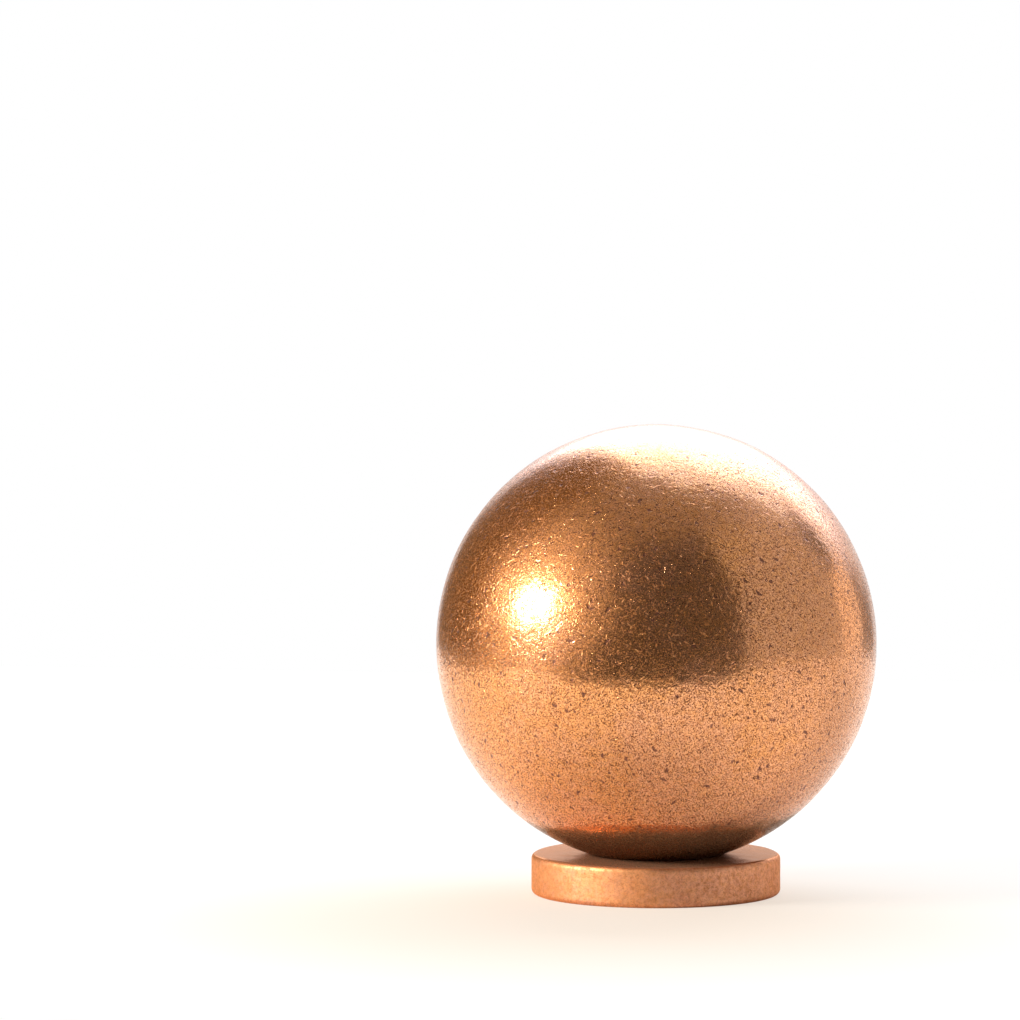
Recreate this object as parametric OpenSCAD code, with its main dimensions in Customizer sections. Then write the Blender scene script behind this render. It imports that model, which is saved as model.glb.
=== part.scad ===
// Solid copper sphere resting in the bore of a low copper ring stand.
// Millimetres. +Z is up, and the origin is the centre of the ring's base.

/* [Sphere] */
// Diameter of the solid sphere
sphere_d = 60; // [40:0.5:80]

/* [Ring stand] */
// Outside diameter of the ring
ring_od = 34; // [28:0.5:44]
// Height of the ring from its base to its top face
ring_h = 5.5; // [4:0.25:10]
// Diameter of the bore that the sphere dips into
bore_d = 16.6; // [10:0.2:20]
// Radius tumbled onto the four edges of the ring
edge_r = 0.7; // [0.3:0.05:1.2]

/* [Hidden] */

// Facets of a full circle in a preview
round_fn = 128;
// Colour of plain tumbled copper
copper = [0.72, 0.45, 0.30];

sphere_r = sphere_d / 2;
bore_r = bore_d / 2;
ring_wall = (ring_od - bore_d) / 2;

// Circles on which the centres of the edge roundings lie
inner_edge_r = bore_r + edge_r;
outer_edge_r = ring_od / 2 - edge_r;
low_edge_z = edge_r;
top_edge_z = ring_h - edge_r;

// The sphere sits on the rounding at the top of the bore, so its centre is one sphere radius
// and one edge radius away from the circle on which that rounding is centred
seat_reach = sphere_r + edge_r;
sphere_z = top_edge_z + sqrt(pow(seat_reach, 2) - pow(inner_edge_r, 2));

// Ball turned from solid bar and tumbled: one plain sphere with no flat, hole or seam
module sphere_ball() {
    color(copper)
        translate([0, 0, sphere_z])
            sphere(r = sphere_r, $fn = round_fn);
}

// Section of the ring on one side of its axis: a rectangle with four rounded corners
module ring_section() {
    translate([inner_edge_r, 0])
        square([ring_wall - 2 * edge_r, ring_h]);
    translate([bore_r, low_edge_z])
        square([ring_wall, ring_h - 2 * edge_r]);
    for (x = [inner_edge_r, outer_edge_r], y = [low_edge_z, top_edge_z])
        translate([x, y])
            circle(r = edge_r, $fn = round_fn);
}

// Flat ring cut from thick tube, with its bore right through it
module ring_stand() {
    color(copper)
        rotate_extrude($fn = round_fn)
            ring_section();
}

sphere_ball();  // sphere
ring_stand();
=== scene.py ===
# %% [markdown]
# # A copper sphere on its ring stand
#
# The object is a solid ball of copper, 60 mm across, that sits in the bore of a low copper ring.
# Both were tumbled in a drum of small media after turning, which rounds the edges, leaves a satin
# shine and covers the metal with tiny dashes and pits.
#
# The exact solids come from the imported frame. This lesson dresses them: a finer mesh for each
# piece, a copper finish made of nodes, a pale table and a small studio.

import collections
import math

import bmesh
import bpy
import numpy as np
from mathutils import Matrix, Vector


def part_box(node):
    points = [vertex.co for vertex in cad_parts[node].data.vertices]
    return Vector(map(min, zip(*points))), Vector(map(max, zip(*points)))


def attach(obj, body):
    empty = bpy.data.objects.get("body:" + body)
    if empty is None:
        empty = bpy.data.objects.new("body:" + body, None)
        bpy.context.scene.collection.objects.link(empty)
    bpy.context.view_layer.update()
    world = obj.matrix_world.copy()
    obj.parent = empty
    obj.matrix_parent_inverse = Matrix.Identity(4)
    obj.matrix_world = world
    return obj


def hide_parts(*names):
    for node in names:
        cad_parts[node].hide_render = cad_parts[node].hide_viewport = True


MM = 0.001

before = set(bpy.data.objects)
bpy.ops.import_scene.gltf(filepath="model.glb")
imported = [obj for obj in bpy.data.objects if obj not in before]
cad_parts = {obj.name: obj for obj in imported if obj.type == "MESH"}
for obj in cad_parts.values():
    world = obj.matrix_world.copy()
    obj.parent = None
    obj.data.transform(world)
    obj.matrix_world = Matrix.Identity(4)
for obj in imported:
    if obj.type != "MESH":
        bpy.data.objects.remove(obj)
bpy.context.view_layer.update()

# %% [markdown]
# ## Sizes taken from the frame
#
# Every place below is worked out from the boxes of the two solids, so the dressed pieces land
# exactly on them. The bore can't be read from a box. It follows from the seat: the ball rests on
# the rounded top edge of the bore, so its height gives the bore's radius.

# %% Read the sizes
ball_low, ball_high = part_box("sphere")
ring_low, ring_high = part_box("ring_stand")

BALL_R = (ball_high.z - ball_low.z) / 2
BALL_Z = (ball_high.z + ball_low.z) / 2
RING_R = (ring_high.x - ring_low.x) / 2
RING_H = ring_high.z
EDGE_R = 0.7 * MM

seat_reach = BALL_R + EDGE_R
seat_rise = BALL_Z - (RING_H - EDGE_R)
BORE_R = math.sqrt(seat_reach ** 2 - seat_rise ** 2) - EDGE_R
SEAT_R = (BORE_R + EDGE_R) * BALL_R / seat_reach
print("ball radius, ring radius, bore radius, seat circle, mm:",
      [round(size / MM, 3) for size in (BALL_R, RING_R, BORE_R, SEAT_R)])

# %% [markdown]
# ## The camera
#
# The ball is seen nearly level, from a little above, through a long lens, and it stands to the
# right of the middle and below it. The camera is placed by its height and distance and turned by
# two small angles, with no shift of the lens, so that other views can orbit the object freely.

# %% Place the camera
FRAME_PX = 1020
FOCAL_PX = 6500
SENSOR_MM = 36
CAMERA_DISTANCE = 887 * MM
CAMERA_ELEVATION = math.radians(5.07)
CAMERA_PITCH = math.radians(3.89)
CAMERA_YAW = math.radians(1.293)
CAMERA_CLIP = (0.05, 20)

camera = bpy.data.objects.new("camera", bpy.data.cameras.new("camera"))
camera.data.sensor_width = SENSOR_MM
camera.data.lens = FOCAL_PX * SENSOR_MM / FRAME_PX
camera.data.clip_start, camera.data.clip_end = CAMERA_CLIP
camera.location = (
    0,
    -CAMERA_DISTANCE * math.cos(CAMERA_ELEVATION),
    BALL_Z + CAMERA_DISTANCE * math.sin(CAMERA_ELEVATION),
)
camera.rotation_euler = (math.pi / 2 - CAMERA_PITCH, 0, CAMERA_YAW)
bpy.context.collection.objects.link(camera)
bpy.context.scene.camera = camera
bpy.context.scene.view_settings.view_transform = "Standard"
print("camera lens, mm:", round(camera.data.lens, 1))

# %% [markdown]
# ## How a tumbled surface moves
#
# Turning leaves a true ball, and tumbling then beats it very slightly out of true. The waves are
# only a few hundredths of a millimetre high, but a mirror shows a slope and not a height, so they
# bend the edges of every reflection. They could be a noise texture. A sum of gentle sine waves
# in random directions is smoother and costs nothing, so it moves the vertices instead.

# %% Ripples as a sum of waves
RIPPLE_WAVES = 48


def ripples(points, shortest, longest, seed):
    """Smooth random heights with a spread of about 1 at the given points."""
    draw = np.random.default_rng(seed)
    ways = draw.normal(size=(RIPPLE_WAVES, 3))
    ways /= np.linalg.norm(ways, axis=1)[:, None]
    lengths = draw.uniform(shortest, longest, RIPPLE_WAVES)
    starts = draw.uniform(0, 2 * math.pi, RIPPLE_WAVES)
    turns = points @ (ways * (2 * math.pi / lengths)[:, None]).T + starts
    return np.sin(turns).sum(axis=1) / math.sqrt(RIPPLE_WAVES / 2)


def smooth_step(low, high, values):
    """0 below low, 1 above high and a smooth rise between them."""
    share = np.clip((values - low) / (high - low), 0, 1)
    return share * share * (3 - 2 * share)


# %% [markdown]
# ## Dents
#
# A few dents are big enough to see one by one. Each is a shallow bowl with a faint raised lip,
# where the metal was pushed aside. They are cut into the mesh, because a dent this wide would
# look flat if it were only shading.

# %% Dents as shallow bowls
LIP_REACH = 1.6
LIP_SHARE = 0.18


def dents(points, centres, radii, depths):
    """The depth, as a negative height, that the dents leave at each point."""
    height = np.zeros(len(points))
    for centre, radius, depth in zip(centres, radii, depths):
        away = np.linalg.norm(points - centre, axis=1) / radius
        bowl = away < 1
        height[bowl] -= depth * (1 - away[bowl] ** 2) ** 2
        lip = (away >= 1) & (away < LIP_REACH)
        along = (away[lip] - 1) / (LIP_REACH - 1)
        height[lip] += depth * LIP_SHARE * np.sin(math.pi * along) ** 2
    return height


# %% [markdown]
# ## The ball's mesh
#
# A ball built from rings of latitude crowds its vertices at the poles, and the ripples would
# pinch there. A cube whose faces are cut into a fine grid and then blown up into a ball spreads
# them evenly. Taking the tangent of each coordinate first evens out the squares still more.

# %% Blow a cube up into the ball
BALL_CELLS = 128


def cube_ball(cells):
    """A bmesh ball of radius 1 with even square faces."""
    ball = bmesh.new()
    bmesh.ops.create_cube(ball, size=2)
    bmesh.ops.subdivide_edges(ball, edges=ball.edges, cuts=cells - 1, use_grid_fill=True)
    for vertex in ball.verts:
        bent = [math.tan(value * math.pi / 4) for value in vertex.co]
        vertex.co = Vector(bent).normalized()
    return ball


def mesh_piece(name, shape):
    """Turns a bmesh into a piece with smooth shading."""
    mesh = bpy.data.meshes.new(name)
    shape.to_mesh(mesh)
    shape.free()
    mesh.shade_smooth()
    piece = bpy.data.objects.new(name, mesh)
    bpy.context.collection.objects.link(piece)
    return piece


ball = mesh_piece("sphere_tumbled", cube_ball(BALL_CELLS))
print("plain ball, faces:", len(ball.data.polygons))

# %% [markdown]
# ## The ball, beaten out of true
#
# Every vertex moves straight outward or inward by the height of the ripples, the longer swell and
# the dents. The foot stays true, because there the ball seats on the ring.

# %% Shape the ball
BALL_RIPPLE = 0.007 * MM
BALL_RIPPLE_LENGTHS = (3.5 * MM, 7 * MM)
BALL_SWELL = 0.022 * MM
BALL_SWELL_LENGTHS = (11 * MM, 24 * MM)
BALL_DENTS = 90
BALL_DENT_RADII_MM = (0.7, 1.5)
BALL_DENT_DEPTHS = (0.008, 0.028)
SEAT_CLEAR = (13 * MM, 17 * MM)
BALL_DENT_SEED = 7
BALL_RIPPLE_SEED = 11
BALL_SWELL_SEED = 12


def vertex_values(mesh, name):
    """The places or the normals of all vertices as one array."""
    flat = np.empty(len(mesh.vertices) * 3)
    mesh.vertices.foreach_get(name, flat)
    return flat.reshape(-1, 3)


def move_vertices(mesh, places):
    """Writes the vertex places back."""
    mesh.vertices.foreach_set("co", places.ravel())
    mesh.update()


def from_axis(points):
    """How far each point is from the upright axis."""
    return np.hypot(points[:, 0], points[:, 1])


outward = vertex_values(ball.data, "co")
draw = np.random.default_rng(BALL_DENT_SEED)
dent_ways = draw.normal(size=(BALL_DENTS, 3))
dent_ways /= np.linalg.norm(dent_ways, axis=1)[:, None]
dent_radii = draw.uniform(*BALL_DENT_RADII_MM, BALL_DENTS) * MM
dent_depths = dent_radii * draw.uniform(*BALL_DENT_DEPTHS, BALL_DENTS)

ball_points = outward * BALL_R
height = BALL_RIPPLE * ripples(ball_points, *BALL_RIPPLE_LENGTHS, BALL_RIPPLE_SEED)
height += BALL_SWELL * ripples(ball_points, *BALL_SWELL_LENGTHS, BALL_SWELL_SEED)
height += dents(ball_points, dent_ways * BALL_R, dent_radii, dent_depths)
height *= np.where(ball_points[:, 2] > 0, 1, smooth_step(*SEAT_CLEAR, from_axis(ball_points)))
ball_places = outward * (BALL_R + height)[:, None] + np.array([0, 0, BALL_Z])
move_vertices(ball.data, ball_places)
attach(ball, "root")
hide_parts("sphere")
print("ball heights, mm:", round(height.min() / MM, 3), "to", round(height.max() / MM, 3))

# %% [markdown]
# ## The ring's mesh
#
# The ring is turned from thick tube, so its mesh is turned too: one closed section, carried
# round the axis in many steps. The section has its points close together on the roundings, where
# the light turns quickly, and the flats are cut finely as well, so that ripples show on them.

# %% Draw the ring's section
FLAT_STEP = 0.35 * MM
EDGE_STEPS = 7


def between(first, last):
    """Evenly spaced points on the flat between two points, without its ends."""
    count = max(1, round(math.dist(first, last) / FLAT_STEP))
    shares = [step / count for step in range(1, count)]
    return [(first[0] + (last[0] - first[0]) * s, first[1] + (last[1] - first[1]) * s) for s in shares]


def ring_section():
    """Points of the ring's closed section as (radius, height), counterclockwise."""
    corners = [
        (RING_R - EDGE_R, EDGE_R, -90),
        (RING_R - EDGE_R, RING_H - EDGE_R, 0),
        (BORE_R + EDGE_R, RING_H - EDGE_R, 90),
        (BORE_R + EDGE_R, EDGE_R, 180),
    ]
    points = []
    for across, up, start in corners:
        arc = [math.radians(start + 90 * step / EDGE_STEPS) for step in range(EDGE_STEPS + 1)]
        rounding = [(across + EDGE_R * math.cos(a), up + EDGE_R * math.sin(a)) for a in arc]
        if points:
            points += between(points[-1], rounding[0])
        points += rounding
    return points + between(points[-1], points[0])


section = ring_section()
print("points in the ring's section:", len(section))

# %% [markdown]
# ## Turning
#
# A lathe gives every cut of the ring the same section. A screw modifier would carry the section
# round too, but its result is only there once it is applied. Rows of vertices made one by one
# join up without a seam and can be moved at once.

# %% Turn the ring
RING_STEPS = 512


def turned(section, steps):
    """A bmesh made by carrying a closed section round the upright axis."""
    shape = bmesh.new()
    rows = []
    for step in range(steps):
        angle = 2 * math.pi * step / steps
        way = (math.cos(angle), math.sin(angle))
        rows.append([shape.verts.new((r * way[0], r * way[1], z)) for r, z in section])
    for row, following in zip(rows, rows[1:] + rows[:1]):
        for place in range(len(section)):
            other = (place + 1) % len(section)
            shape.faces.new((row[place], following[place], following[other], row[other]))
    bmesh.ops.recalc_face_normals(shape, faces=shape.faces)
    return shape


ring = mesh_piece("ring_stand_tumbled", turned(section, RING_STEPS))
print("ring faces:", len(ring.data.polygons))

# %% [markdown]
# ## The ring, beaten out of true
#
# The ring got the same blows, so its side and its top are rippled and dented too. The bore's edge
# stays true for the ball, and the base stays flat for the table.

# %% Shape the ring
RING_RIPPLE = 0.005 * MM
RING_RIPPLE_LENGTHS = (2.5 * MM, 6 * MM)
RING_DENTS = 60
RING_DENTS_ABOVE = 0.8 * MM
RING_DENT_RADII_MM = (0.4, 0.9)
RING_DENT_DEPTHS = (0.01, 0.04)
BORE_CLEAR = (SEAT_R + EDGE_R, SEAT_R + 3 * EDGE_R)
BASE_CLEAR = (0.2 * MM, EDGE_R)
RING_DENT_SEED = 21
RING_RIPPLE_SEED = 22

ring_points = vertex_values(ring.data, "co")
normals = vertex_values(ring.data, "normal")
draw = np.random.default_rng(RING_DENT_SEED)
dent_turns = draw.uniform(0, 2 * math.pi, RING_DENTS)
dent_heights = draw.uniform(RING_DENTS_ABOVE, RING_H, RING_DENTS)
dent_centres = np.stack(
    [RING_R * np.cos(dent_turns), RING_R * np.sin(dent_turns), dent_heights], axis=1)
dent_radii = draw.uniform(*RING_DENT_RADII_MM, RING_DENTS) * MM
dent_depths = dent_radii * draw.uniform(*RING_DENT_DEPTHS, RING_DENTS)

height = RING_RIPPLE * ripples(ring_points, *RING_RIPPLE_LENGTHS, RING_RIPPLE_SEED)
height += dents(ring_points, dent_centres, dent_radii, dent_depths)
height *= smooth_step(*BORE_CLEAR, from_axis(ring_points)) * smooth_step(*BASE_CLEAR, ring_points[:, 2])
move_vertices(ring.data, ring_points + normals * height[:, None])
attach(ring, "root")
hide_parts("ring_stand")
print("ring heights, mm:", round(height.min() / MM, 3), "to", round(height.max() / MM, 3))

# %% [markdown]
# ## Wiring nodes from code
#
# The finishes are networks of small nodes. They could be drawn by hand in the shader editor, but
# a network this long is easier to follow as sums with names. Each helper below adds one node and
# gives back its result, so that the later lines read like arithmetic.

# %% Nodes for numbers and vectors


def add(tree, kind, values=None, **settings):
    """Adds a node with its settings. Its inputs are given as numbers or as other nodes' results."""
    node = tree.nodes.new(kind)
    for name, value in settings.items():
        setattr(node, name, value)
    for name, value in (values or {}).items():
        if isinstance(value, bpy.types.NodeSocket):
            tree.links.new(value, node.inputs[name])
        else:
            node.inputs[name].default_value = value
    return node


def calc(tree, operation, first, second=0.0):
    """The result of one sum on numbers."""
    return add(tree, "ShaderNodeMath", {0: first, 1: second}, operation=operation).outputs[0]


def vector(tree, operation, first, second=(0, 0, 0), output="Vector"):
    """The result of one sum on vectors."""
    return add(tree, "ShaderNodeVectorMath", {0: first, 1: second}, operation=operation).outputs[output]


def scaled(tree, value, factor):
    """A vector made longer or shorter."""
    return add(tree, "ShaderNodeVectorMath", {0: value, "Scale": factor}, operation="SCALE").outputs[0]


def part_of(tree, value, axis):
    """One of the three numbers of a vector, by its letter."""
    return add(tree, "ShaderNodeSeparateXYZ", {"Vector": value}).outputs[axis]


# %% [markdown]
# ## Ranges, clouds and mixed colours
#
# A few more helpers do what a finish needs most. A smooth step from one range to another gives
# soft borders where a hard limit would show as a line. Cloudy noise gives patches without a
# pattern, and a mix lays one colour over another by a share.

# %% Nodes for ranges, noise and colours
WHITE = (1, 1, 1)


def remap(tree, value, low, high, to_low, to_high):
    """Stretches one range of numbers smoothly onto another and stops at its ends."""
    ranges = {"Value": value, "From Min": low, "From Max": high, "To Min": to_low, "To Max": to_high}
    return add(tree, "ShaderNodeMapRange", ranges, interpolation_type="SMOOTHSTEP").outputs["Result"]


def noise(tree, place, scale, detail, roughness):
    """Cloudy noise that stays mostly between 0.3 and 0.7."""
    values = {"Vector": place, "Scale": scale, "Detail": detail, "Roughness": roughness}
    return add(tree, "ShaderNodeTexNoise", values).outputs["Fac"]


def blend(tree, share, first, second):
    """Mixes two colours by a share from 0 to 1."""
    node = add(tree, "ShaderNodeMix", {"Factor": share}, data_type="RGBA")
    for name, value in (("A", first), ("B", second)):
        socket = [item for item in node.inputs if item.name == name and item.type == "RGBA"][0]
        if isinstance(value, bpy.types.NodeSocket):
            tree.links.new(value, socket)
        else:
            socket.default_value = (*value, 1)
    return [item for item in node.outputs if item.type == "RGBA"][0]


def plain_tree(owner):
    """Empties the node tree of a material or a world and returns it."""
    owner.use_nodes = True
    owner.node_tree.nodes.clear()
    return owner.node_tree


# %% [markdown]
# ## Strokes left by tumbling
#
# The pellets in the drum strike the metal from every side, and each blow leaves a short, slightly
# bent stroke. A picture of scratches would stretch at the poles and repeat. Here a Voronoi
# texture cuts the metal into cells, and every cell draws one stroke of its own. The cell's random
# colour picks the stroke's direction, length, bend and strength, so no two are alike.

# %% One stroke in every cell
STROKE_BEND = 1.3
STROKE_SHRINK = (2.2, 0.75)
STROKE_EDGE = (0.5, 1.1)
MIDDLE = (0.5, 0.5, 0.5)


def strokes(tree, place, normal, cell, length, width, shift, scarce, sure):
    """Short strokes that lie in the surface, one to a cell: up to 1 inside and 0 outside.

    Cells whose random number is under scarce stay empty, and those over sure get a full stroke.
    """
    moved = vector(tree, "ADD", place, (shift, shift * 2, shift * 3))
    cells = add(tree, "ShaderNodeTexVoronoi", {"Vector": moved, "Scale": 1 / cell}, feature="F1")
    chance = cells.outputs["Color"]

    # Two directions in the surface: along the stroke and across it
    local = vector(tree, "SUBTRACT", moved, cells.outputs["Position"])
    along = vector(tree, "CROSS_PRODUCT", normal, vector(tree, "SUBTRACT", chance, MIDDLE))
    along = vector(tree, "NORMALIZE", along)
    across = vector(tree, "CROSS_PRODUCT", normal, along)

    # Both distances count 1 at the stroke's outline, and the bend grows towards its ends
    run = calc(tree, "MULTIPLY", vector(tree, "DOT_PRODUCT", local, along, "Value"), 2 / length)
    run = calc(tree, "MULTIPLY", run, remap(tree, part_of(tree, chance, "Z"), 0, 1, *STROKE_SHRINK))
    run_squared = calc(tree, "MULTIPLY", run, run)
    bend = remap(tree, part_of(tree, chance, "X"), 0, 1, -STROKE_BEND, STROKE_BEND)
    side = calc(tree, "MULTIPLY", vector(tree, "DOT_PRODUCT", local, across, "Value"), 2 / width)
    side = calc(tree, "ADD", side, calc(tree, "MULTIPLY", run_squared, bend))
    away = calc(tree, "SQRT", calc(tree, "ADD", run_squared, calc(tree, "MULTIPLY", side, side)))

    stroke = remap(tree, away, *STROKE_EDGE, 1, 0)
    strength = remap(tree, part_of(tree, chance, "Y"), scarce, sure, 0, 1)
    return calc(tree, "MULTIPLY", stroke, strength)


# %% [markdown]
# ## Five kinds of mark
#
# The finest strokes are a tenth of a millimetre wide and cover the metal like short hair, in two
# layers. Between them lie longer dashes and rare oval pits, and all of these hold grime. Scratches
# and wide shallow dips hold none. A scratch is dull inside, so it catches the lamp's light from
# far off and shows as a golden line where the metal mirrors something dark. A dip shows only
# where a reflection ends, and frays its edge into brush strokes. Rows of cells would look
# straight, so noise first pushes the place about a little.

# %% The kinds of mark, in mm
FINE = dict(cell=0.34, length=0.48, width=0.14, shift=1.7, scarce=-0.1, sure=1.0)
FINER = dict(cell=0.29, length=0.40, width=0.125, shift=5.3, scarce=-0.1, sure=1.0)
DASHES = dict(cell=0.70, length=0.66, width=0.21, shift=9.1, scarce=0.4, sure=1.0)
PITS = dict(cell=2.1, length=1.05, width=0.52, shift=23.3, scarce=0.68, sure=0.83)
SCRATCHES = dict(cell=1.1, length=1.25, width=0.24, shift=41.9, scarce=0.35, sure=0.9)
DIPS = dict(cell=0.95, length=1.8, width=0.55, shift=61.7, scarce=0.0, sure=1.0)
SWAY = {"Scale": 2.2, "Detail": 1.0}
SWAY_MM = 0.22


def tumbling_marks(tree, place, normal):
    """The masks of all the marks, by name."""
    sway = add(tree, "ShaderNodeTexNoise", {"Vector": place, **SWAY})
    push = scaled(tree, vector(tree, "SUBTRACT", sway.outputs["Color"], MIDDLE), SWAY_MM)
    swayed = vector(tree, "ADD", place, push)
    fine = strokes(tree, swayed, normal, **FINE)
    return {
        "hair": calc(tree, "MAXIMUM", fine, strokes(tree, swayed, normal, **FINER)),
        "dashes": strokes(tree, swayed, normal, **DASHES),
        "pits": strokes(tree, swayed, normal, **PITS),
        "scratches": strokes(tree, swayed, normal, **SCRATCHES),
        "dips": strokes(tree, swayed, normal, **DIPS),
    }


print("width of the finest and the widest mark, mm:", FINER["width"], DIPS["width"])


# %% [markdown]
# ## The colour of the copper
#
# Copper reflects red far better than blue, and that alone gives a metal its colour. Under the
# satin the crystals of the metal shine unevenly, so a fine grain mixes a bright and a deep tint.
# Wide patches lean to gold on the left and to pink on the right. That is painted light: the warm
# lamp on the left is painted into the tint, and noise makes the border wander.
# Grime stays in the strokes, and the deepest pits hold a darker, purplish oxide.

# %% Tint, patches and grime
CLOUD_RANGE = (0.3, 0.7)
# Painted light: gold for the left, where the warm lamp shines, pink for the right, and the X range in mm
# and the shares over which the one turns into the other.
PAINTED_WARM_LEFT = (1.0, 0.96, 0.82)
PAINTED_COOL_RIGHT = (1.0, 1.02, 1.18)
PAINTED_WARMTH_FROM_TO = (-18, 14)
PAINTED_WARMTH_SHARES = (0.1, 0.8)
DRIFT = dict(scale=0.07, detail=2.0, roughness=0.5)
DRIFT_MM = 20
MOTTLE = dict(scale=1.1, detail=2.0, roughness=0.6)
MOTTLE_SHARE = 0.35
GRIME = (0.14, 0.05, 0.028)
PIT_OXIDE = (0.13, 0.05, 0.045)
PIT_FROM_TO = (0.2, 0.8)
PIT_COVER = 0.75


def copper_colour(tree, place, sparkle, marks, grime, bright, deep):
    """The tint of the metal, with its patches, the painted warm light on its left and its grime."""
    tint = blend(tree, sparkle, deep, bright)
    drift = remap(tree, noise(tree, place, **DRIFT), *CLOUD_RANGE, -DRIFT_MM, DRIFT_MM)
    # Painted light: the tint turns gold towards the left and pink towards the right. The drift and the
    # mottle add random patches of the metal's own.
    patch = remap(tree, calc(tree, "ADD", part_of(tree, place, "X"), drift), *PAINTED_WARMTH_FROM_TO, *PAINTED_WARMTH_SHARES)
    mottle = remap(tree, noise(tree, place, **MOTTLE), *CLOUD_RANGE, -MOTTLE_SHARE, MOTTLE_SHARE)
    painted_warmth = blend(tree, calc(tree, "ADD", patch, mottle), PAINTED_WARM_LEFT, PAINTED_COOL_RIGHT)
    tint = vector(tree, "MULTIPLY", tint, painted_warmth)

    small = calc(tree, "MAXIMUM", marks["hair"], marks["dashes"])
    tint = blend(tree, calc(tree, "MULTIPLY", small, grime), tint, GRIME)
    oxide = calc(tree, "MULTIPLY", marks["pits"], grime)
    return blend(tree, remap(tree, oxide, *PIT_FROM_TO, 0, PIT_COVER), tint, PIT_OXIDE)


# %% [markdown]
# ## Satin and relief
#
# The shine isn't even. Most of the surface is nearly polished, but the dull grains between the
# sparkling ones spread the light widely and put a soft glow round the lamp. Two shaders could be
# mixed for this. One shader whose roughness changes from grain to grain looks the same and stays
# simple to export. The marks are pressed in by a bump node. Only the finest shapes are left to
# it: the ripples and dents that bend a whole reflection are already in the mesh. A slow wave is
# added to the bump as well, because it frays the edges of the reflections.

# %% Roughness and bump
HAZE = dict(scale=0.5, detail=4.0, roughness=0.65)
DULL_BELOW = 0.42
MARK_ROUGHNESS = 0.2
SCRATCH_ROUGHNESS = 0.28
HEIGHTS = {"hair": -0.2, "dashes": -0.4, "pits": -1.0, "scratches": -0.6, "dips": -0.35}
GRAIN_HEIGHT = 0.04
WAVE_HEIGHT = 1.0
WAVE = dict(scale=1.2, detail=1.0, roughness=0.5)


def copper_roughness(tree, place, sparkle, marks, marking, satin, dull):
    """Satin that is rougher in the dull grains and in the marks."""
    rough = remap(tree, noise(tree, place, **HAZE), *CLOUD_RANGE, *satin)
    rough = calc(tree, "ADD", rough, remap(tree, sparkle, 0, DULL_BELOW, dull, 0.0))
    every = calc(tree, "MAXIMUM", calc(tree, "MAXIMUM", marks["hair"], marks["dashes"]), marks["pits"])
    rough = calc(tree, "ADD", rough, calc(tree, "MULTIPLY", every, MARK_ROUGHNESS * marking))
    frosted = calc(tree, "MULTIPLY", marks["scratches"], SCRATCH_ROUGHNESS * marking)
    return calc(tree, "ADD", rough, frosted)


def copper_relief(tree, place, grain, marks):
    """The height of the surface, where -1 is the bottom of a pit."""
    relief = calc(tree, "MULTIPLY", grain, GRAIN_HEIGHT)
    wave = noise(tree, place, **WAVE)
    relief = calc(tree, "ADD", relief, calc(tree, "MULTIPLY", wave, WAVE_HEIGHT))
    for kind, height in HEIGHTS.items():
        relief = calc(tree, "ADD", relief, calc(tree, "MULTIPLY", marks[kind], height))
    return relief


# %% [markdown]
# ## The finish as a whole
#
# The sphere and the ring are the same metal from the same drum, so one function makes both. What
# differs is given as values. Upward faces are rubbed by hands and cloths, so the relief, the
# roughness and the grime all fade there: a little on the sphere, and almost wholly on the ring's
# flat top.

# %% One function for both pieces
CROWN_FROM_TO = (0.75, 0.95)
RUBBED_GRIME = 0.3
RUBBED_ROUGHNESS = 0.3
RUBBED_RELIEF = 0.15
GRAIN = dict(detail=2.0, roughness=0.6)
GRAIN_RANGE = (0.34, 0.66)

Finish = collections.namedtuple("Finish", "material tree shader colour place rubbed")


def copper(name, bright, deep, grain_scale, satin, dull, relief_mm, marking, crown, edge_tint):
    """Tumbled copper, with the results that the pieces' own touches are built on."""
    material = bpy.data.materials.new(name)
    tree = plain_tree(material)
    shader = add(tree, "ShaderNodeBsdfPrincipled", {"Metallic": 1.0, "Specular Tint": (*edge_tint, 1)})
    add(tree, "ShaderNodeOutputMaterial", {"Surface": shader.outputs["BSDF"]})

    coordinates = add(tree, "ShaderNodeTexCoord")
    place = scaled(tree, coordinates.outputs["Object"], 1 / MM)
    normal = coordinates.outputs["Normal"]
    marks = tumbling_marks(tree, place, normal)
    grain = noise(tree, place, grain_scale, **GRAIN)
    sparkle = remap(tree, grain, *GRAIN_RANGE, 0, 1)
    rubbed = remap(tree, part_of(tree, normal, "Z"), *CROWN_FROM_TO, 0, crown)

    grime = remap(tree, rubbed, 0, 1, marking, RUBBED_GRIME * marking)
    colour = copper_colour(tree, place, sparkle, marks, grime, bright, deep)
    tree.links.new(colour, shader.inputs["Base Color"])

    rough = copper_roughness(tree, place, sparkle, marks, marking, satin, dull)
    rough = calc(tree, "MULTIPLY", rough, remap(tree, rubbed, 0, 1, 1, RUBBED_ROUGHNESS))
    tree.links.new(rough, shader.inputs["Roughness"])

    relief = copper_relief(tree, place, grain, marks)
    relief = calc(tree, "MULTIPLY", relief, remap(tree, rubbed, 0, 1, 1, RUBBED_RELIEF))
    bump = add(tree, "ShaderNodeBump", {"Height": relief, "Distance": relief_mm * MM, "Strength": 1.0})
    tree.links.new(bump.outputs["Normal"], shader.inputs["Normal"])
    return Finish(material, tree, shader, colour, place, rubbed)


def dress(piece, material):
    """Gives a piece its only material."""
    piece.data.materials.clear()
    piece.data.materials.append(material)
    print(piece.name, "wears", material.name, "with", len(material.node_tree.nodes), "nodes")


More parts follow.
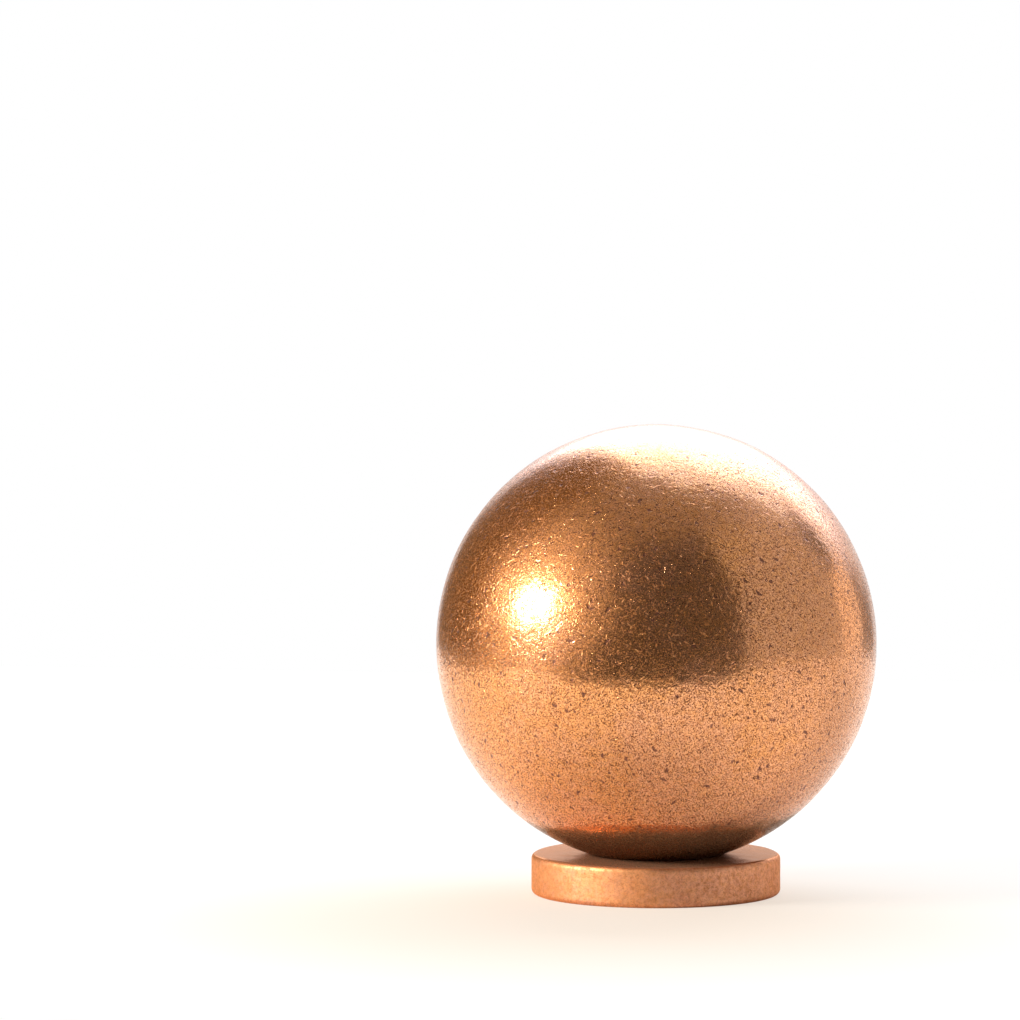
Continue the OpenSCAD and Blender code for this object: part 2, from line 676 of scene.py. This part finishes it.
# %% [markdown]
# ## The sphere's finish and the painted shade at its foot
#
# The underside of the sphere is painted a dark brown. This is painted shade: it stands in for the
# shade and the dark mirror images in the narrow wedge between the sphere and the ring. The painted
# shade starts just above the ring, a little higher on the right, and its edge wanders. It is partly
# a non-metal, and its edge tint makes it reflect little even near the rim. So it also calms the
# light that bounces many times in the wedge.

# %% Dress the sphere
# Painted shade at the foot: the heights in mm where it fades out, how far its edge wanders, its slant,
# its cover, its metal share, its colour, its edge tint and its noise range.
FOOT_SHADE_FROM_TO = (9.5, 11.8)
FOOT_SHADE_WANDER = 0.7
FOOT_SHADE_TILT = 0.04
FOOT_SHADE_COVER = 0.9
FOOT_SHADE_METAL = 0.7
PAINTED_FOOT_SHADE = (0.20, 0.11, 0.055)
FOOT_SHADE_RIM_TINT = (0.35, 0.25, 0.18)
FOOT_SHADE_RANGE = (0.2, 0.8)

finish = copper(
    "sphere_copper_finish", bright=(1.0, 0.48, 0.215), deep=(0.64, 0.26, 0.103), grain_scale=5.2,
    satin=(0.07, 0.13), dull=0.42, relief_mm=0.028, marking=1.0, crown=0.6, edge_tint=WHITE)
tree = finish.tree
inputs = finish.shader.inputs
# Painted shade: the copper turns dark brown and less metallic towards the foot, and its grazing
# reflection darkens too.
haze = noise(tree, finish.place, **HAZE)
edge = remap(tree, haze, *FOOT_SHADE_RANGE, -FOOT_SHADE_WANDER, FOOT_SHADE_WANDER)
slant = calc(tree, "MULTIPLY", part_of(tree, finish.place, "X"), FOOT_SHADE_TILT)
level = calc(tree, "SUBTRACT", calc(tree, "ADD", part_of(tree, finish.place, "Z"), edge), slant)
painted_foot_shade = remap(tree, level, *FOOT_SHADE_FROM_TO, 1, 0)
shaded_foot_colour = blend(tree, calc(tree, "MULTIPLY", painted_foot_shade, FOOT_SHADE_COVER), finish.colour, PAINTED_FOOT_SHADE)
tree.links.new(shaded_foot_colour, inputs["Base Color"])
tree.links.new(remap(tree, painted_foot_shade, 0, 1, 1, FOOT_SHADE_METAL), inputs["Metallic"])
tree.links.new(blend(tree, painted_foot_shade, WHITE, FOOT_SHADE_RIM_TINT), inputs["Specular Tint"])
dress(ball, finish.material)

# %% [markdown]
# ## The ring's finish
#
# The ring is duller on its side and has fewer marks. Its top is nearly flat and polished, and it
# is seen at a grazing angle, where a metal turns pale. The edge tint holds that paleness back. A
# thin pale bloom lies on the top. It is not metal, so it catches a little light even close to the
# sphere, where a mirror would show only the sphere's dark foot.

# %% Dress the ring
TOP_METAL = 0.7
TOP_COLOUR = (0.74, 0.38, 0.21)

finish = copper(
    "ring_copper_finish", bright=(0.80, 0.39, 0.20), deep=(0.67, 0.31, 0.15), grain_scale=1.9,
    satin=(0.45, 0.58), dull=0.1, relief_mm=0.008, marking=0.28, crown=1.0,
    edge_tint=(0.84, 0.6, 0.46))
tree = finish.tree
inputs = finish.shader.inputs
tree.links.new(blend(tree, finish.rubbed, finish.colour, TOP_COLOUR), inputs["Base Color"])
tree.links.new(remap(tree, finish.rubbed, 0, 1, 1, TOP_METAL), inputs["Metallic"])
inputs["Specular IOR Level"].default_value = 0
dress(ring, finish.material)

# %% [markdown]
# ## The table
#
# The object stands on a plain pale table top, a little askew to the camera. The lower half of the
# ball mirrors it, and the dark room begins where the table ends, so the size of the rectangle
# sets how high that edge lies. In a studio the paper would be lit until it is nearly white. More
# lamps would also wash out the copper, so the paper keeps a plain colour for the light, and only
# the camera sees most of it replaced by an even white. In front of the object, on the left, that
# white carries a painted pool of warm light. What is left of the paper's own shading still shows
# the shadow.

# %% Lay the table
TABLE_SIZE = (600 * MM, 440 * MM, 1)
TABLE_MIDDLE = (103 * MM, 77 * MM, 0)
TABLE_TURN = -8.5
# Painted light: the colour of a warm pool of light on the table, its middle in front of the object on
# the left, and the distances over which it fades.
PAPER = (0.86, 0.84, 0.81)
PAINTED_WARM_LIGHT = (1.0, 0.87, 0.74)
PAINTED_LIGHT_SPOT = (-14 * MM, -30 * MM, 0)
PAINTED_LIGHT_FROM_TO = (20 * MM, 85 * MM)
WHITE_SHARE = 0.7

# A square with sides of 1, stretched to the size of the table
table_top = bmesh.new()
bmesh.ops.create_grid(table_top, x_segments=1, y_segments=1, size=0.5)
bmesh.ops.scale(table_top, vec=TABLE_SIZE, verts=table_top.verts)
table = mesh_piece("table", table_top)
table.location = TABLE_MIDDLE
table.rotation_euler.z = math.radians(TABLE_TURN)

table_finish = bpy.data.materials.new("table_finish")
tree = plain_tree(table_finish)
paper = add(tree, "ShaderNodeBsdfDiffuse", {"Color": (*PAPER, 1)})
position = add(tree, "ShaderNodeNewGeometry").outputs["Position"]
# Painted light: a warm pool of light, painted into the white that the camera sees, fading out from its
# middle.
from_light_spot = vector(tree, "DISTANCE", position, PAINTED_LIGHT_SPOT, "Value")
painted_light_share = remap(tree, from_light_spot, *PAINTED_LIGHT_FROM_TO, 1, 0)
white = add(tree, "ShaderNodeEmission", {"Color": blend(tree, painted_light_share, WHITE, PAINTED_WARM_LIGHT)})
seen = add(tree, "ShaderNodeLightPath").outputs["Is Camera Ray"]
white_share = calc(tree, "MULTIPLY", seen, WHITE_SHARE)
mixed = add(tree, "ShaderNodeMixShader", {0: white_share, 1: paper.outputs[0], 2: white.outputs[0]})
add(tree, "ShaderNodeOutputMaterial", {"Surface": mixed.outputs[0]})
dress(table, table_finish)

# %% [markdown]
# ## The backdrop and the air
#
# Behind the object everything is white. The world is white at a strength of 1 for the camera and
# for mirror and glass rays, and dimmer for the light that falls on things, so the backdrop is
# white without pouring more light on the object.

# %% Make the world
AIR_COLOUR = (1, 0.97, 0.95)
AIR_STRENGTH = 0.5

world = bpy.data.worlds.new("studio")
bpy.context.scene.world = world
tree = plain_tree(world)
path = add(tree, "ShaderNodeLightPath")
mirrored = calc(tree, "MAXIMUM", path.outputs["Is Glossy Ray"], path.outputs["Is Transmission Ray"])
shown = calc(tree, "MAXIMUM", path.outputs["Is Camera Ray"], mirrored)
backdrop = add(tree, "ShaderNodeBackground", {"Color": (*WHITE, 1), "Strength": 1.0})
air = add(tree, "ShaderNodeBackground", {"Color": (*AIR_COLOUR, 1), "Strength": AIR_STRENGTH})
choice = add(tree, "ShaderNodeMixShader", {0: shown, 1: air.outputs[0], 2: backdrop.outputs[0]})
add(tree, "ShaderNodeOutputWorld", {"Surface": choice.outputs[0]})
print("air strength:", AIR_STRENGTH)

# %% [markdown]
# ## The room that the metal mirrors
#
# A mirror ball shows the room, so a white world alone would leave it blank. A real room could be
# built with walls, a window and a lamp. A dome round the object, painted with the brightness of
# each direction, does the same with one mesh. Only mirror rays see it, and it casts no shadow.
# Directions are given in degrees: azimuth 0 is towards the camera, 90 to its right and 180 behind
# the object. Each patch of the room has a colour, a width, a height and soft edges, and later
# patches cover earlier ones.

# %% Name the patches of the room
Patch = collections.namedtuple("Patch", "name colour azimuths side_edges elevations end_edges")

BARE_WALL = (0.38, 0.345, 0.31)
PATCHES = [
    Patch("left wall", (0.56, 0.47, 0.36), (-150, -60), (10, 25), (-40, 18), (0, 25)),
    Patch("brown shelf behind left", (0.23, 0.165, 0.09), (-157, -110), (5, 25), (-2, 60), (10, 15)),
    Patch("dark front", (0.125, 0.116, 0.108), (-6, 45), (40, 4), (-40, 50), (0, 22)),
    Patch("low dark front", (0.10, 0.093, 0.087), (-44, 8), (14, 14), (-40, -6), (0, 16)),
    Patch("right wall", (0.68, 0.66, 0.62), (49, 120), (4, 5), (-40, 47), (0, 20)),
    Patch("dark cupboard", (0.17, 0.16, 0.15), (118, 129), (6, 3), (20, 31), (3, 10)),
    Patch("curtain", (1.0, 1.15, 1.4), (129, 200), (3, 4), (16, 60), (8, 7)),
    Patch("low curtain", (1.0, 1.15, 1.4), (150, 196), (6, 4), (-40, 60), (0, 7)),
    Patch("pale ceiling", (1.5, 1.85, 2.35), (117, 200), (3, 4), (42, 78), (5, 4)),
    Patch("white sheet behind", (1.0, 1.0, 1.0), (150, 196), (6, 4), (-40, 14), (0, 10)),
    Patch("dark corner", (0.26, 0.24, 0.21), (136, 153), (4, 6), (-40, 1), (0, 6)),
    Patch("bright panel", (1.35, 1.2, 1.0), (115, 134), (3, 3), (-40, 16), (0, 3)),
]
WINDOW = Patch("window", (4.2, 4.4, 5.4), (148, 194), (20, 5), (30, 58), (22, 12))
KEY_AZIMUTH = -69
KEY_ELEVATION = 19
KEY_GLOW = (1.05, 0.95, 0.86)
KEY_GLOW_FROM_TO = (12, 50)
print("patches in the room:", [patch.name for patch in PATCHES])

# %% [markdown]
# ## From directions to shares
#
# A patch is a window of directions with soft edges, as blurred as things far off appear in a
# satin ball. Its share in a direction is the product of two soft windows, one across and one up.

# %% Soft windows of directions


def way(azimuth, elevation):
    """The direction with this azimuth and elevation."""
    a, e = math.radians(azimuth), math.radians(elevation)
    return Vector((math.sin(a) * math.cos(e), -math.cos(a) * math.cos(e), math.sin(e)))


def window_share(values, low, high, soft_low, soft_high):
    """1 from low to high, fading to 0 over the soft edges outside."""
    return smooth_step(low - soft_low, low, values) * (1 - smooth_step(high, high + soft_high, values))


def patch_share(patch, azimuths, elevations):
    """How much of a patch is seen in each direction. Azimuths run on round the circle."""
    start, end = patch.azimuths
    soft_start, soft_end = patch.side_edges
    turned_on = (azimuths - start + soft_start) % 360
    wide = window_share(turned_on, soft_start, soft_start + end - start, soft_start, soft_end)
    return wide * window_share(elevations, *patch.elevations, *patch.end_edges)


def cover(room, share, colour):
    """Lays a colour over the room by a share."""
    return room * (1 - share[:, None]) + np.array(colour) * share[:, None]


# %% [markdown]
# ## The colour of every direction
#
# The room starts as bare wall, and the patches are laid over it in turn. The lamp lights the wall
# behind it, so a round glow comes next. The window is the brightest of all and comes last.

# %% Paint the room
ROOM_COLUMNS = 240
ROOM_ROWS = 84
ROOM_ELEVATIONS = (-36, 90)

azimuths = np.repeat(np.linspace(-180, 180, ROOM_COLUMNS, endpoint=False), ROOM_ROWS)
elevations = np.tile(np.linspace(*ROOM_ELEVATIONS, ROOM_ROWS), ROOM_COLUMNS)
directions = np.array([way(azimuth, elevation) for azimuth, elevation in zip(azimuths, elevations)])

room = np.tile(BARE_WALL, (len(azimuths), 1))
for patch in PATCHES:
    room = cover(room, patch_share(patch, azimuths, elevations), patch.colour)
from_key = np.degrees(np.arccos(np.clip(directions @ np.array(way(KEY_AZIMUTH, KEY_ELEVATION)), -1, 1)))
room = cover(room, 1 - smooth_step(*KEY_GLOW_FROM_TO, from_key), KEY_GLOW)
room = cover(room, patch_share(WINDOW, azimuths, elevations), WINDOW.colour)
print("room brightness from", round(room.min(), 2), "to", round(room.max(), 2))

# %% [markdown]
# ## The dome
#
# The mesh has one vertex for each direction, and each vertex carries its colour. An image would
# do as well, but colours on vertices need no file. The dome glows with them and is hidden from
# the camera and from every ray that isn't a mirror ray.

# %% Build the dome
ROOM_R = 900 * MM

dome = bmesh.new()
columns = []
for column in np.split(directions * ROOM_R + np.array([0, 0, BALL_Z]), ROOM_COLUMNS):
    columns.append([dome.verts.new(corner) for corner in column])
for column, following in zip(columns, columns[1:] + columns[:1]):
    for row in range(ROOM_ROWS - 1):
        dome.faces.new((column[row], following[row], following[row + 1], column[row + 1]))
room_dome = mesh_piece("room_dome", dome)
shade = room_dome.data.color_attributes.new("shade", "FLOAT_COLOR", "POINT")
shade.data.foreach_set("color", np.hstack([room, np.ones((len(room), 1))]).ravel())
room_dome.visible_camera = False
room_dome.visible_diffuse = False
room_dome.visible_shadow = False

room_finish = bpy.data.materials.new("room_finish")
room_finish.cycles.emission_sampling = "NONE"
tree = plain_tree(room_finish)
painted = add(tree, "ShaderNodeVertexColor", layer_name="shade").outputs["Color"]
light = add(tree, "ShaderNodeEmission", {"Color": painted})
add(tree, "ShaderNodeOutputMaterial", {"Surface": light.outputs[0]})
dress(room_dome, room_finish)

# %% [markdown]
# ## The lamps
#
# Two lamps light the table and the object. The key is a small warm softbox on the left. It makes
# the round highlight on the sphere and the soft shadow on the right. The other is large and weak
# and stands behind, where the window is. The metal already mirrors the window in the dome, so
# this lamp is hidden from mirror rays. Sizes and distances are in metres.

# %% Hang the lamps
KEY_COLOUR = (1.0, 0.97, 0.92)
KEY_SIZE = (0.24, 0.17)
KEY_DISTANCE = 0.6
KEY_RADIANCE = 35.0
BACK_AZIMUTH = 170
BACK_ELEVATION = 50
BACK_SIZE = (1.1, 0.7)
BACK_DISTANCE = 0.8
BACK_RADIANCE = 3.2


def softbox(name, azimuth, elevation, distance, size, radiance, colour):
    """A flat oval lamp that faces the sphere. A lamp's power is its radiance times pi and its area."""
    data = bpy.data.lights.new(name, "AREA")
    data.shape = "ELLIPSE"
    data.size, data.size_y = size
    data.energy = radiance * math.pi * size[0] * size[1]
    data.color = colour
    lamp = bpy.data.objects.new(name, data)
    lamp.location = way(azimuth, elevation) * distance + Vector((0, 0, BALL_Z))
    lamp.rotation_euler = (-way(azimuth, elevation)).to_track_quat("-Z", "Y").to_euler()
    lamp.visible_camera = False
    bpy.context.collection.objects.link(lamp)
    print(name, "power in watts:", round(data.energy, 2))
    return lamp


softbox(
    "key_softbox", KEY_AZIMUTH, KEY_ELEVATION, KEY_DISTANCE, KEY_SIZE, KEY_RADIANCE, KEY_COLOUR)
back = softbox(
    "back_softbox", BACK_AZIMUTH, BACK_ELEVATION, BACK_DISTANCE, BACK_SIZE, BACK_RADIANCE, WHITE)
back.visible_glossy = False
